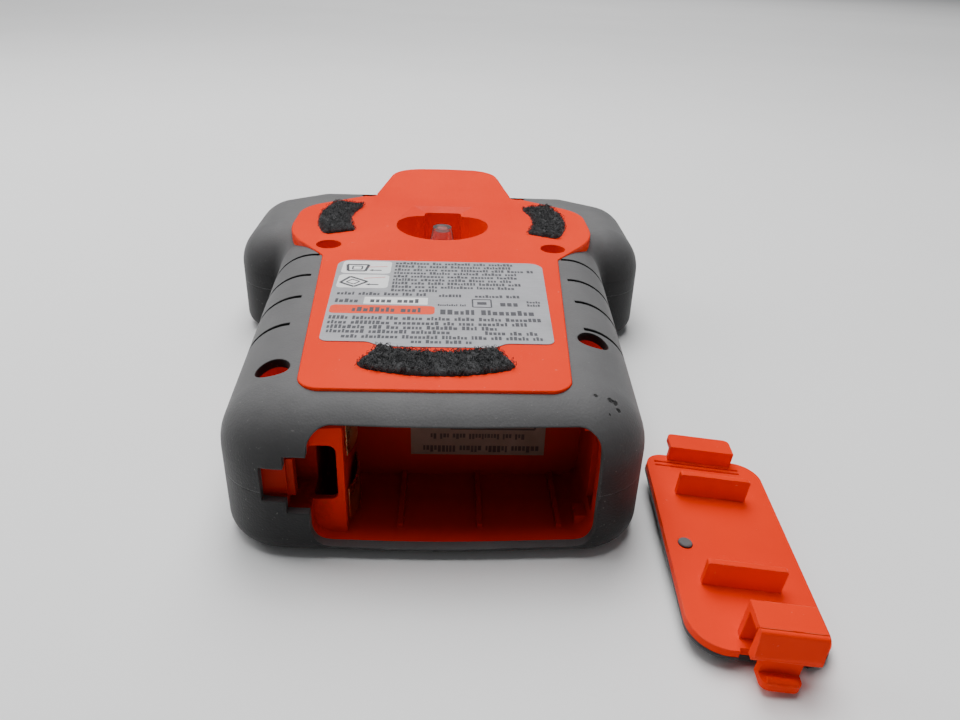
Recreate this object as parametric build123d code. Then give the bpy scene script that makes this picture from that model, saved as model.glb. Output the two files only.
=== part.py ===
from build123d import *
import os
from math import cos, radians, sin

# Self-levelling wall laser level, lying on its front face with the battery door off.
# Millimetres. +Z is the way the back face looks, +Y runs from the battery end to the dome.
# Outlines are drawn with y measured from the mouth of the battery bay; write() then moves
# every piece so that the origin is at the middle of the flat front face.
ORIGIN_Y = 80.0

# Housing
BACK = 36.0                # plane of the orange back panel
PROUD = 0.4                # how far the panel stands above the rubber round it
SPLIT = 16.5               # parting plane between the front and the rear shell
RUBBER = 2.0               # thickness of the overmould
WALL = 2.2                 # thickness of the shells under it
BACK_ROUND = 14.0          # edge radius of the housing on the wall side
FRONT_ROUND = 5.0          # edge radius on the front side
END = -4.6                 # furthest point of the battery end
GROOVES = (38.6, 55.0, 70.0, 86.0)
GROOVE_WIDTH = 1.5
GROOVE_DEPTH = 1.1
GROOVE_START = 35.6

# Fasteners: x, y and the radius of the well over each screw
SCREWS = ((-34.2, 94.2, 3.8), (34.2, 94.2, 3.8), (-35.3, 16.8, 3.8),
          (37.0, 33.0, 3.8), (-27.0, 149.5, 2.9), (27.0, 149.5, 2.9))
WELL_FLOOR = 22.0
POST_RADIUS = 5.2

# Hanging recess in the back
HANG_Y = 115.0
HANG_RADIUS = 15.0
HANG_FLOOR = 24.0
HANG_NOTCH = 6.3
HANG_TOP = 132.0

# Hook-and-loop patches, all cut to the same ring sector
PATCH_IN = 30.2
PATCH_OUT = 41.0
PATCH_HALF_ANGLE = 26.0
PATCH_THICK = 1.4

# Battery bay for one 9 V block
BAY_X = 4.3                # middle of the mouth
MOUTH_LONG = 60.0
MOUTH_LOW, MOUTH_HIGH = 3.0, 31.4
MOUTH_ROUND = 5.0
MOUTH_BEVEL = 1.1
BAY_DEPTH = 23.2
BAY_WALL = 1.4
DIVIDER_X = -20.2
CONTACT_WIDE = 8.0
CATCH_Z = 18.8             # middle of the thumb notch and of the door latch

# Battery door, drawn flat: x across, y along (latch end at -y), z out of the inner face
DOOR_LONG = 59.6
DOOR_WIDE = 28.0
DOOR_CORNERS = (7.5, 7.0, 6.0, 4.6)     # radii, from the near left corner round to the far left
DOOR_PLATE = 1.6
DOOR_THICK = 3.1
RIB_HIGH = 5.8
RIB_THICK = 1.4
RIB_LEFT, RIB_RIGHT = -9.0, 7.2
RIB_PLACES = (-13.1, 15.2)
HOOK_LEFT, HOOK_RIGHT = -8.6, 7.0
PLUG = (-10.0, -2.1)
PLUG_RADIUS = 1.55
LATCH_X = CATCH_Z - (MOUTH_LOW + MOUTH_HIGH) / 2
LATCH_WIDE = 12.5
LATCH_TOP = 8.5
LATCH_WALL = 1.6
FIXED_LEG_Y = -25.9
OUTER_LEG_Y = -32.0
CATCH_LOW = 2.6
TONGUE_END = -35.6
TONGUE_LOW = -2.6

# Where the open door lies: its middle, then its turn, its tilt to one side and its lift
DOOR_CENTRE = (63.9, -3.1)
DOOR_TURN, DOOR_TILT, DOOR_LIFT = -3.7, 5.3, 1.4

# Slide switch in the left side wall
SWITCH_Y = 64.0
SWITCH_TRAVEL = 6.0
SWITCH_WALL = 49.4

# Pendulum that carries the laser modules
PIVOT_Y = 142.0
BEAM_Z = 15.0
BEAM_Y = 128.5
SHOE_RADIUS = 84.0
BARREL_RADIUS = 4.5
LENS_RADIUS = 3.2
CLAMP_SCREWS = ((-37, BEAM_Y), (37, BEAM_Y), (0, PIVOT_Y + 14.5))
EAR_FACE = 66.5
DOME_END = 190.6

# Circuit board
BOARD_LOW = 6.4
BOARD_THICK = 1.6
BOARD_SCREWS = ((-37.0, 30.5), (-23.5, 72.0))

PARTS = "parts"


def write(name, shape):
    """Write one node, moved so that the origin is at the middle of the front face."""
    export_step(Pos(0, -ORIGIN_Y, 0) * shape, f"{PARTS}/{name}.step")


def box(low, high):
    """A box from its lowest to its highest corner."""
    size = [b - a for a, b in zip(low, high)]
    centre = [(a + b) / 2 for a, b in zip(low, high)]
    return Pos(*centre) * Box(*size)


def disc(x, y, low, high, radius):
    """An upright cylinder between two heights."""
    return Pos(x, y, (low + high) / 2) * Cylinder(radius, high - low)


def outline(half):
    """A face from its right half: x, y and corner radius, from the lower to the upper middle."""
    left = [(-x, y, r) for x, y, r in reversed(half) if x > 0]
    corners = list(half) + left
    path = FilletPolyline(*[(x, y) for x, y, r in corners],
                          radius=[r for x, y, r in corners], close=True)
    return make_face(path)


def slab(face, low, high):
    """A flat face drawn at z = 0, made solid between two heights."""
    return extrude(Pos(0, 0, low) * face, high - low)


def soft_block(face, low, high, low_round, high_round):
    """A slab whose lower and upper edges are rounded."""
    block = slab(face, low, high)
    block = fillet(block.faces().sort_by(Axis.Z)[-1].edges(), high_round)
    return fillet(block.faces().sort_by(Axis.Z)[0].edges(), low_round)


def ring_sector(centre, near, far, half_angle, direction):
    """A flat ring sector between two radii about a point, opening in a direction in degrees."""
    def at(radius, angle):
        turn = radians(direction + angle)
        return (centre[0] + radius * cos(turn), centre[1] + radius * sin(turn))

    outer_arc = ThreePointArc(at(far, -half_angle), at(far, 0), at(far, half_angle))
    inner_arc = ThreePointArc(at(near, half_angle), at(near, 0), at(near, -half_angle))
    sides = [Line(outer_arc @ 1, inner_arc @ 0), Line(inner_arc @ 1, outer_arc @ 0)]
    face = make_face([outer_arc, sides[0], inner_arc, sides[1]])
    return fillet(face.vertices(), 1.5)


BODY_HALF = ((0, END, 300), (45.3, -2.6, 15), (51.6, 103, 3), (EAR_FACE, 106, 14.3),
             (EAR_FACE, 147, 14.5), (46, 162, 14.5), (0, 162, 0))
DOME_HALF = ((0, 120, 0), (27, 120, 0), (26, 150, 0), (21.0, 189.4, 12), (0, DOME_END, 80))
PANEL_HALF = ((0, 7, 0), (28.7, 7.3, 5), (34.7, 85, 3), (48.6, 104.5, 30), (48.4, 132.5, 15),
              (24.6, 149.8, 3), (19.4, 187.4, 12), (0, 188.6, 80))
LABEL_HALF = ((0, 26.2, 0), (13, 26.2, 3), (16, 28.5, 3), (27.2, 28.5, 2),
              (29.3, 80.7, 4), (0, 80.7, 0))

body_face = outline(BODY_HALF)
dome_face = outline(DOME_HALF)
panel_face = outline(PANEL_HALF)


def envelope(inset):
    """The housing's outer form, shrunk by a distance on every side."""
    high = BACK - PROUD - inset
    body = body_face
    dome = dome_face
    if inset:
        body = offset(body_face, amount=-inset)
        dome = offset(dome_face, amount=-inset)
    body = soft_block(body, inset, high, FRONT_ROUND - inset * 0.9, BACK_ROUND - inset)
    dome_round = max(3.0 - inset * 0.6, 0.4)
    return body + soft_block(dome, inset, high, dome_round, dome_round)


outer = envelope(0)                 # outside of the rubber
middle = envelope(RUBBER)           # between the rubber and the shells
inner = envelope(RUBBER + WALL)     # inside of the shells
rear_half = box((-90, -20, SPLIT), (90, 220, BACK + 5))
front_half = box((-90, -20, -5), (90, 220, SPLIT))


def mouth_flare():
    """The lead-in that bevels the rubber round the mouth."""
    border = MOUTH_BEVEL + 2
    face = RectangleRounded(MOUTH_LONG + 2 * border, MOUTH_HIGH - MOUTH_LOW + 2 * border,
                            MOUTH_ROUND + border)
    start = Plane(origin=(BAY_X, END - 2, (MOUTH_LOW + MOUTH_HIGH) / 2),
                  x_dir=(1, 0, 0), z_dir=(0, 1, 0))
    return extrude(start * face, border, taper=45)


def mouth(clearance, depth):
    """The rounded opening of the battery bay, from outside the end face inward."""
    wide = MOUTH_LONG + 2 * clearance
    high = MOUTH_HIGH - MOUTH_LOW + 2 * clearance
    face = RectangleRounded(wide, high, MOUTH_ROUND)
    start = Plane(origin=(BAY_X, END - 2, (MOUTH_LOW + MOUTH_HIGH) / 2),
                  x_dir=(1, 0, 0), z_dir=(0, 1, 0))
    return extrude(start * face, depth - END + 2)


left_edge = BAY_X - MOUTH_LONG / 2
right_edge = BAY_X + MOUTH_LONG / 2
bay_middle_z = (MOUTH_LOW + MOUTH_HIGH) / 2
thumb_notch = box((-35.4, END - 2, CATCH_Z - 4.1), (left_edge + 1, -0.4, CATCH_Z + 4.1))
latch_pocket = box((-30.4, END - 2, CATCH_Z - 6.8), (left_edge + 1, 9, CATCH_Z + 6.8))
keeper_window = box((left_edge - 1, 0, CATCH_Z - 6.8), (DIVIDER_X - 0.1, 4, CATCH_Z + 6.8))
catch_lip = box((-30.6, 0, CATCH_Z - 4.6), (-28.9, 2.4, CATCH_Z + 4.6))
catch_openings = thumb_notch + latch_pocket
hook_pocket = box((right_edge - 1, 2.4, bay_middle_z - 8.8),
                  (right_edge + 5, 8, bay_middle_z + 8.8))
bay_hollow = mouth(0, BAY_DEPTH) + catch_openings + hook_pocket
bay_block = (mouth(BAY_WALL, BAY_DEPTH + BAY_WALL)
             + box((-36.7, END - 2, CATCH_Z - 8.3), (left_edge, 10.4, CATCH_Z + 8.3))
             + box((right_edge, 1, bay_middle_z - 10.2),
                   (right_edge + 6.4, 9.4, bay_middle_z + 10.2)))

switch_slot = box((-60, SWITCH_Y - 6.5, 12.2),
                  (-SWITCH_WALL + 3, SWITCH_Y + 6.5 + SWITCH_TRAVEL, 20.8))
stem_slot = box((-60, SWITCH_Y - 3, 14), (-40, SWITCH_Y + 3 + SWITCH_TRAVEL, 19))


def ear_window_space(side, border):
    """The space through an ear's outer wall for its window, or for its wider glazing seat."""
    deep = 7.0 if border == 0 else 1.6
    low = (EAR_FACE - deep, BEAM_Y - 5 - border, BEAM_Z - 3.5 - border)
    high = (EAR_FACE + 3, BEAM_Y + 5 + border, BEAM_Z + 3.5 + border)
    space = box(low, high)
    return space if side > 0 else mirror(space, Plane.YZ)


def top_window_space(border):
    """The same through the end of the dome."""
    deep = 8.0 if border == 0 else 2.0
    return box((-5 - border, DOME_END - deep, BEAM_Z - 3.5 - border),
               (5 + border, DOME_END + 3, BEAM_Z + 3.5 + border))


window_spaces = [ear_window_space(-1, 0), ear_window_space(1, 0), top_window_space(0)]
glazing_seats = [ear_window_space(-1, 1), ear_window_space(1, 1), top_window_space(1)]


def hang_space(border, floor):
    """The round hanging recess with the notch at its upper side."""
    cup = disc(0, HANG_Y, floor, BACK + 2, HANG_RADIUS + border)
    notch_face = outline(((0, HANG_Y, 0), (HANG_NOTCH + 3 + border, HANG_Y, 0),
                          (HANG_NOTCH + 3 + border, HANG_Y + 12, 0),
                          (HANG_NOTCH + border, HANG_Y + 13.5, 0),
                          (HANG_NOTCH + border, HANG_TOP + border, 1.5),
                          (0, HANG_TOP + border, 0)))
    return cup + slab(notch_face, floor, BACK + 2)


def hang_bevel():
    """The sloping facets that lead a hook into the notch."""
    def trapezoid(low_half, high_half, high_y, z):
        corners = ((-low_half, HANG_Y + 5), (-high_half, high_y), (high_half, high_y),
                   (low_half, HANG_Y + 5))
        return Pos(0, 0, z) * make_face(Polyline(*corners, close=True))

    return loft([trapezoid(10, HANG_NOTCH, HANG_TOP, BACK - 1.2),
                 trapezoid(15.6, 10.8, HANG_TOP + 4.4, BACK + 0.1)])


def rear_shell():
    panel = slab(panel_face, BACK - PROUD - RUBBER - WALL, BACK)
    panel = fillet(panel.faces().sort_by(Axis.Z)[-1].edges(), 0.35)
    shell = (middle - inner) & rear_half
    shell += panel
    for x, y, radius in SCREWS:
        shell += disc(x, y, SPLIT, BACK - PROUD, POST_RADIUS) & middle
    shell += disc(0, PIVOT_Y, 20, BACK - 3, 4.5)
    shell += hang_space(1.8, HANG_FLOOR - 1.8) & slab(panel_face, 0, BACK)
    shell -= hang_space(0, HANG_FLOOR) + hang_bevel()
    shell -= disc(0, PIVOT_Y, 19, 30, 2.0)
    for x, y, radius in SCREWS:
        shell -= disc(x, y, WELL_FLOOR, BACK + 2, radius)
        shell -= disc(x, y, SPLIT - 1, BACK, 1.9)
    shell -= bay_block
    shell -= stem_slot + switch_slot
    for space in window_spaces:
        shell -= space
    return shell


def rear_overmould():
    skin = (outer - middle) & rear_half
    skin -= slab(panel_face, BACK - 6, BACK + 2)
    core = envelope(GROOVE_DEPTH)
    for y in GROOVES:
        for side in (-1, 1):
            far = 70 * side
            near = GROOVE_START * side
            strip = box((min(near, far), y - GROOVE_WIDTH / 2, SPLIT + 1.5),
                        (max(near, far), y + GROOVE_WIDTH / 2, BACK))
            skin -= strip - core
    for x, y, radius in SCREWS:
        skin -= disc(x, y, SPLIT, BACK + 2, radius)
    skin -= mouth(0, BAY_DEPTH) + mouth_flare() + catch_openings
    skin -= switch_slot
    for space in window_spaces + glazing_seats:
        skin -= space
    return skin


front_panel_face = offset(body_face + dome_face, amount=-9)


def front_shell():
    shell = (middle - inner) & front_half
    shell += slab(front_panel_face, 0, RUBBER + 0.5)
    for x, y, radius in SCREWS:
        shell += disc(x, y, RUBBER, SPLIT, POST_RADIUS - 1.4) & middle
    shell += disc(0, PIVOT_Y, RUBBER, 8, 4.5)
    for x, y in BOARD_SCREWS:
        shell += disc(x, y, RUBBER, BOARD_LOW, 2.6)
    shell -= disc(0, PIVOT_Y, 5, 9, 2.0)
    for x, y, radius in SCREWS:
        shell -= disc(x, y, 5, SPLIT + 1, 1.6)
    for x, y in BOARD_SCREWS:
        shell -= disc(x, y, 2.5, BOARD_LOW + 1, 1.15)
    shell -= bay_block
    shell -= stem_slot + switch_slot
    for space in window_spaces:
        shell -= space
    return shell


def front_overmould():
    skin = (outer - middle) & front_half
    skin -= slab(front_panel_face, -1, RUBBER + 0.5)
    skin -= mouth(0, BAY_DEPTH) + mouth_flare() + catch_openings
    skin -= switch_slot
    for space in window_spaces + glazing_seats:
        skin -= space
    return skin


def battery_bay():
    tray = bay_block - bay_hollow
    tray += box((DIVIDER_X, 1.6, MOUTH_LOW - 0.5),
                (DIVIDER_X + 1.4, BAY_DEPTH + 0.5, MOUTH_HIGH + 0.5))
    tray += catch_lip
    keeper = box((left_edge - 0.5, 1.6, MOUTH_LOW - 0.5), (DIVIDER_X + 0.5, 3.0, MOUTH_HIGH + 0.5))
    tray += (keeper - fillet(keeper_window.edges().filter_by(Axis.Y), 1.6)) & bay_block
    for x in (-7.5, 10.1, 27.7):
        tray += box((x - 0.6, 3.2, MOUTH_LOW - 0.5), (x + 0.6, BAY_DEPTH + 0.5, MOUTH_LOW + 1.1))
    for low in (MOUTH_LOW - 0.5, MOUTH_HIGH - 3):
        tray += box((right_edge - 3, 4, low), (right_edge + 0.5, 8.5, low + 3.5)) & bay_block
    return (tray & middle) - disc_along_y(-23, 20, BAY_DEPTH - 1, BAY_DEPTH + 3, 1.8)


def disc_along_y(x, z, low, high, radius):
    """A cylinder lying along Y."""
    return Pos(x, (low + high) / 2, z) * Rot(90, 0, 0) * Cylinder(radius, high - low)


def battery_contacts():
    """Two bowed blades on the divider, each wide enough to meet a 9 V battery's snap terminal."""
    face = DIVIDER_X + 1.4
    blades = []
    for z in (bay_middle_z - 8.5, bay_middle_z + 8.5):
        back = ThreePointArc((face + 0.1, 4.2), (face + 1.4, 11), (face + 0.1, 17.8))
        front = ThreePointArc((face + 0.5, 3.9), (face + 1.8, 11), (face + 0.5, 18.1))
        blade = make_face([back, Line(back @ 1, front @ 1), front, Line(front @ 0, back @ 0)])
        blades.append(slab(blade, z - CONTACT_WIDE / 2, z + CONTACT_WIDE / 2))
    return Compound(children=blades)


def bay_label():
    """The paper sticker on the far wall of the bay."""
    return box((-6, BAY_DEPTH - 0.15, 8.8), (26, BAY_DEPTH, 25.5))


def rear_label():
    return slab(outline(LABEL_HALF), BACK, BACK + 0.2)


def loop_patch(middle_point, direction):
    face = ring_sector(middle_point, PATCH_IN, PATCH_OUT, PATCH_HALF_ANGLE, direction)
    return slab(face, BACK, BACK + PATCH_THICK)


def hang_cone():
    """The clear hollow cone that stands in the middle of the hanging recess."""
    on_floor = (Align.CENTER, Align.CENTER, Align.MIN)
    cone = Cone(5.4, 3.1, 11.4, align=on_floor) - Cone(3.6, 1.7, 10.0, align=on_floor)
    return Pos(0, HANG_Y, HANG_FLOOR) * cone


def pan_screw(x, y, tip, seat, head_radius, shank_radius):
    """An upright screw with a pan head and a cross recess."""
    head = fillet(disc(x, y, seat, seat + 2, head_radius).edges().sort_by(Axis.Z)[-1], 0.9)
    screw = head + disc(x, y, tip, seat, shank_radius)
    reach = head_radius * 0.55
    for half_x, half_y in ((reach, 0.4), (0.4, reach)):
        screw -= box((x - half_x, y - half_y, seat + 0.8), (x + half_x, y + half_y, seat + 3))
    return screw


def housing_screws():
    screws = []
    for x, y, radius in SCREWS:
        head_radius = min(2.8, radius - 0.3)
        screws.append(pan_screw(x, y, 7, WELL_FLOOR, head_radius, 1.45))
    return Compound(children=screws)


def ear_window(side):
    """A clear pane with a shallow flange, set in an ear's outer wall."""
    pane = box((EAR_FACE - 1.6, BEAM_Y - 6, BEAM_Z - 4.5),
               (EAR_FACE - 0.3, BEAM_Y + 6, BEAM_Z + 4.5))
    pane += box((EAR_FACE - 3.4, BEAM_Y - 5, BEAM_Z - 3.5),
                (EAR_FACE - 1.6, BEAM_Y + 5, BEAM_Z + 3.5))
    return pane if side > 0 else mirror(pane, Plane.YZ)


def top_window():
    pane = box((-6, DOME_END - 2.0, BEAM_Z - 4.5), (6, DOME_END - 0.7, BEAM_Z + 4.5))
    return pane + box((-5, DOME_END - 4, BEAM_Z - 3.5), (5, DOME_END - 2.0, BEAM_Z + 3.5))


def switch_button():
    """The thumb pad outside the wall, its stem and the carriage that holds it from inside."""
    pad_face = -SWITCH_WALL - 1.0
    pad = box((pad_face, SWITCH_Y - 5.5, 12.6), (-SWITCH_WALL + 2.6, SWITCH_Y + 5.5, 20.4))
    pad = fillet(pad.edges().filter_by(Axis.X), 1.5)
    for step in (-3, -1, 1, 3):
        pad -= box((pad_face - 1, SWITCH_Y + step - 0.4, 12),
                   (pad_face + 0.6, SWITCH_Y + step + 0.4, 21))
    stem = box((-SWITCH_WALL + 2.6, SWITCH_Y - 2.6, 14.4), (-42.5, SWITCH_Y + 2.6, 18.6))
    carriage = box((-43.6, SWITCH_Y - 8, 11.6), (-42.2, SWITCH_Y + 8, 20.4))
    return pad + stem + carriage


pad_y = PIVOT_Y - SHOE_RADIUS - SWITCH_TRAVEL - 2.4     # back of the brake pad when unlocked


def lock_arm():
    """The arm that carries the brake pad from the switch to the tail of the pendulum."""
    arm = box((-43.4, pad_y - 5, 11.6), (-42.0, SWITCH_Y - 8, 15))
    arm += box((-42.0, pad_y - 5, 12.2), (4, pad_y - 1, 14.8))
    return arm + box((-4, pad_y - 1, 12.2), (4, pad_y, 14.8))


def brake_pad():
    return box((-4, pad_y, 12.2), (4, pad_y + 2, 14.8))


def detent_spring():
    """A leaf with one bump that clicks against the switch carriage."""
    post = box((-40.4, SWITCH_Y + 16, 13), (-39.6, SWITCH_Y + 18, 20))
    leaf = box((-40.4, SWITCH_Y - 6, 15), (-40.0, SWITCH_Y + 16, 18.5))
    bump = Pos(-40.2, SWITCH_Y - 3, 16.75) * Cylinder(1.6, 3.5)
    bump &= box((-42.0, SWITCH_Y - 6, 15), (-40.4, SWITCH_Y, 18.5))
    return post + leaf + bump


def circuit_board():
    board = box((-41, 27, BOARD_LOW), (-20, 77, BOARD_LOW + BOARD_THICK))
    for x, y in BOARD_SCREWS:
        board -= disc(x, y, BOARD_LOW - 1, BOARD_LOW + 3, 1.4)
    return board


def board_screws():
    top = BOARD_LOW + BOARD_THICK
    return Compound(children=[pan_screw(x, y, 3, top, 2.0, 1.0) for x, y in BOARD_SCREWS])


def board_parts():
    """A chip, two capacitors and the lead socket, standing on the board."""
    top = BOARD_LOW + BOARD_THICK
    parts = [box((-35, 38, top), (-28, 48, top + 1.6)), disc(-23.5, 36, top, top + 3.5, 2.5),
             disc(-23.5, 44, top, top + 3.5, 2.5), box((-31, 28.5, top), (-23, 32.5, top + 3.2))]
    return Compound(children=parts)


def slide_contact():
    """The board's own slide switch, under the carriage."""
    top = BOARD_LOW + BOARD_THICK
    return box((-40.8, SWITCH_Y - 8, top), (-35.8, SWITCH_Y + 6, top + 3))


def battery_leads():
    """Two leads from the contact chamber behind the divider to the board's socket."""
    leads = []
    for shift in (-0.8, 0.8):
        x = -23 + shift
        route = FilletPolyline((x, BAY_DEPTH - 2, 20), (x, BAY_DEPTH + 7, 20),
                               (-27 + shift * 1.5, BAY_DEPTH + 7.3, 11.2), radius=2.5)
        leads.append(sweep(Plane(route @ 0, z_dir=route % 0) * Circle(0.6), path=route))
    return Compound(children=leads)


def pendulum_frame():
    """The casting: hub, cross arm, stem, curved brake shoe and a clamp ring for each barrel."""
    frame = disc(0, PIVOT_Y, 8.5, 17, 8)
    frame += box((-40, BEAM_Y - 4, 8.5), (40, BEAM_Y + 4, 10.3))
    frame += box((-4.5, PIVOT_Y - SHOE_RADIUS + 2, 8.5), (4.5, PIVOT_Y + 19, 10.3))
    shoe = disc(0, PIVOT_Y, 10.3, 15, SHOE_RADIUS) - disc(0, PIVOT_Y, 10, 16, SHOE_RADIUS - 3)
    shoe &= box((-14, 40, 10), (14, 70, 16))
    frame += shoe
    frame += box((-4.5, PIVOT_Y - SHOE_RADIUS + 1, 8.5), (4.5, PIVOT_Y - SHOE_RADIUS + 8, 10.3))
    for side in (-1, 1):
        for x in (26, 37):
            frame += box((side * x - 2.5, BEAM_Y - 6, 8.5), (side * x + 2.5, BEAM_Y + 6, 20.8))
    frame += box((-6, PIVOT_Y + 12, 8.5), (6, PIVOT_Y + 17, 20.8))
    frame -= disc(0, PIVOT_Y, 11, 18, 5)
    frame -= disc(0, PIVOT_Y, 8, 12, 3)
    frame -= Pos(0, BEAM_Y, BEAM_Z) * Rot(0, 90, 0) * Cylinder(BARREL_RADIUS, 90)
    frame -= disc_along_y(0, BEAM_Z, PIVOT_Y + 11, PIVOT_Y + 18, BARREL_RADIUS)
    for x, y in CLAMP_SCREWS:
        frame -= disc(x, y, BEAM_Z + 3, 22, 0.9)
    return frame


def clamp_screws():
    """Grub screws that hold the barrels in their rings."""
    start = BEAM_Z + BARREL_RADIUS
    return Compound(children=[disc(x, y, start, 21.2, 0.88) for x, y in CLAMP_SCREWS])


def barrel_along_x(side):
    """A laser module's brass barrel, open at its outer end for the lens."""
    barrel = Rot(0, 90, 0) * (Cylinder(BARREL_RADIUS, 25) - Pos(0, 0, 12.5) * Cylinder(LENS_RADIUS, 9))
    barrel = Pos(34, BEAM_Y, BEAM_Z) * barrel
    return barrel if side > 0 else mirror(barrel, Plane.YZ)


def barrel_along_y():
    start = PIVOT_Y + 9
    return (disc_along_y(0, BEAM_Z, start, start + 25, BARREL_RADIUS)
            - disc_along_y(0, BEAM_Z, start + 20.5, start + 26, LENS_RADIUS))


def lens_along_x(side):
    """The cylindrical lens that spreads the beam into a line."""
    lens = Pos(44.2, BEAM_Y, BEAM_Z) * Rot(0, 90, 0) * Cylinder(LENS_RADIUS, 3.4)
    lens &= box((40, BEAM_Y - 4, BEAM_Z - 4), (45, BEAM_Y + 4, BEAM_Z + 4))
    return lens if side > 0 else mirror(lens, Plane.YZ)


def lens_along_y():
    start = PIVOT_Y + 9 + 20.5
    return disc_along_y(0, BEAM_Z, start, start + 2.8, LENS_RADIUS)


def pendulum_bearing():
    return disc(0, PIVOT_Y, 11, 15, 5) - disc(0, PIVOT_Y, 10, 16, 2.02)


def pivot_pin():
    return disc(0, PIVOT_Y, 5, 29, 1.97)


def pin_clip():
    """The retaining ring above the bearing."""
    clip = disc(0, PIVOT_Y, 17.4, 18.2, 4) - disc(0, PIVOT_Y, 17, 19, 1.97)
    return clip - box((-1, PIVOT_Y - 5, 17), (1, PIVOT_Y, 19))


def pendulum_weight():
    return disc(0, 86, 10.3, 20, 9)


def damping_plate():
    """The copper plate that the magnet slows by eddy currents."""
    return box((-11, 62, 7.6), (11, 76, 8.5))


def damping_magnet():
    return disc(0, 69, RUBBER + WALL, 6.6, 7)


def door_outline(border):
    """The door's outline, larger by a border, with its own radius at each corner."""
    wide = DOOR_WIDE / 2 + border
    far = DOOR_LONG / 2 + border
    radii = [radius + border for radius in DOOR_CORNERS]
    path = FilletPolyline((-wide, -far), (wide, -far), (wide, far), (-wide, far),
                          radius=radii, close=True)
    return make_face(path)


latch_half = LATCH_WIDE / 2
latch_gap = box((LATCH_X - latch_half - 0.5, -DOOR_LONG, -9),
                (LATCH_X + latch_half + 0.5, -DOOR_LONG / 2 + 0.8, 9))
hinge_z = LATCH_TOP - LATCH_WALL / 2


def latch_box(low_y, high_y, low, high):
    """A box as wide as the latch."""
    return box((LATCH_X - latch_half, low_y, low), (LATCH_X + latch_half, high_y, high))


def latch_hinge(radius, length):
    """A cylinder on the line that the outer leg bends about."""
    return Pos(LATCH_X, OUTER_LEG_Y, hinge_z) * Rot(0, 90, 0) * Cylinder(radius, length)


def door_plate():
    """The inner moulding: plate, two pressing ribs, hook, and the latch's fixed leg and bridge."""
    far = DOOR_LONG / 2
    plate = slab(door_outline(0), -DOOR_PLATE, 0) - latch_gap
    for y in RIB_PLACES:
        rib = box((RIB_LEFT, y - RIB_THICK / 2, -0.5), (RIB_RIGHT, y + RIB_THICK / 2, RIB_HIGH))
        plate += fillet(rib.edges().filter_by(Axis.Y).sort_by(Axis.Z)[-2:], 0.5)
    plate += box((HOOK_LEFT, far - 2, -0.5), (HOOK_RIGHT, far - 0.5, 4.0))
    hook = box((HOOK_LEFT, far - 2, 2.6), (HOOK_RIGHT, far + 3.8, 4.0))
    plate += fillet(hook.edges().filter_by(Axis.Z).sort_by(Axis.Y)[-2:], 1.4)
    leg_face = FIXED_LEG_Y + LATCH_WALL / 2
    plate += latch_box(FIXED_LEG_Y - LATCH_WALL / 2, leg_face, -0.5, LATCH_TOP)
    plate += latch_box(OUTER_LEG_Y, leg_face, hinge_z, LATCH_TOP)
    plate += latch_box(OUTER_LEG_Y + 1.2, leg_face, hinge_z - 0.7, LATCH_TOP)
    plate -= latch_hinge(LATCH_WALL / 2 + 0.05, LATCH_WIDE + 1)
    for y in (far - 4.4, far - 3.0):
        plate -= box((-12, y - 0.3, -0.4), (9, y + 0.3, 0.5))
    return plate - disc(*PLUG, -0.8, 1, PLUG_RADIUS + 0.05)


def door_skin():
    """The rubber face of the door, crowned like the end of the housing."""
    skin = slab(door_outline(0.1), -DOOR_THICK, -DOOR_PLATE)
    skin = fillet(skin.faces().sort_by(Axis.Z)[0].edges(), 1.2)
    return skin - latch_gap


def door_plug():
    """The small rubber dot that fills the mould gate in the plate."""
    return fillet(disc(*PLUG, -0.8, 0.5, PLUG_RADIUS).edges().sort_by(Axis.Z)[-1], 0.4)


def door_latch():
    """The sprung leg of the latch: it thickens down to its catch, then narrows to the thumb tongue."""
    outer_face = OUTER_LEG_Y - LATCH_WALL / 2
    inner_face = outer_face + LATCH_WALL
    tongue_left, tongue_right = LATCH_X - 4.0, LATCH_X + 3.5
    latch = latch_hinge(LATCH_WALL / 2, LATCH_WIDE)
    latch += latch_box(outer_face, inner_face, CATCH_LOW - 1, hinge_z)
    side = Polyline((outer_face + 0.5, hinge_z), (outer_face, hinge_z), (outer_face - 0.8, CATCH_LOW + 1),
                    (outer_face - 0.8, CATCH_LOW), (outer_face + 0.5, CATCH_LOW), close=True)
    profile = Plane(origin=(LATCH_X - latch_half, 0, 0), x_dir=(0, 1, 0), z_dir=(1, 0, 0))
    latch += extrude(profile * make_face(side), LATCH_WIDE)
    latch += box((tongue_left, outer_face, TONGUE_LOW), (tongue_right, inner_face, CATCH_LOW))
    tongue = box((tongue_left, TONGUE_END, TONGUE_LOW), (tongue_right, inner_face, TONGUE_LOW + 1.5))
    tongue = fillet(tongue.edges().filter_by(Axis.Z).sort_by(Axis.Y)[:2], 1.6)
    lip = Pos(LATCH_X - 0.3, TONGUE_END + 1.0, TONGUE_LOW + 1.5) * Rot(0, 90, 0) * Cylinder(0.7, 5.6)
    return latch + tongue + lip


def lay_door():
    """The place of the open door beside the housing, its rubber face down."""
    turned = Rot(0, 0, DOOR_TURN) * Rot(DOOR_LIFT, 0, 0) * Rot(0, DOOR_TILT, 0)
    lowest = (turned * door_skin()).bounding_box().min.Z
    return Pos(DOOR_CENTRE[0], DOOR_CENTRE[1], -lowest) * turned


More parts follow.
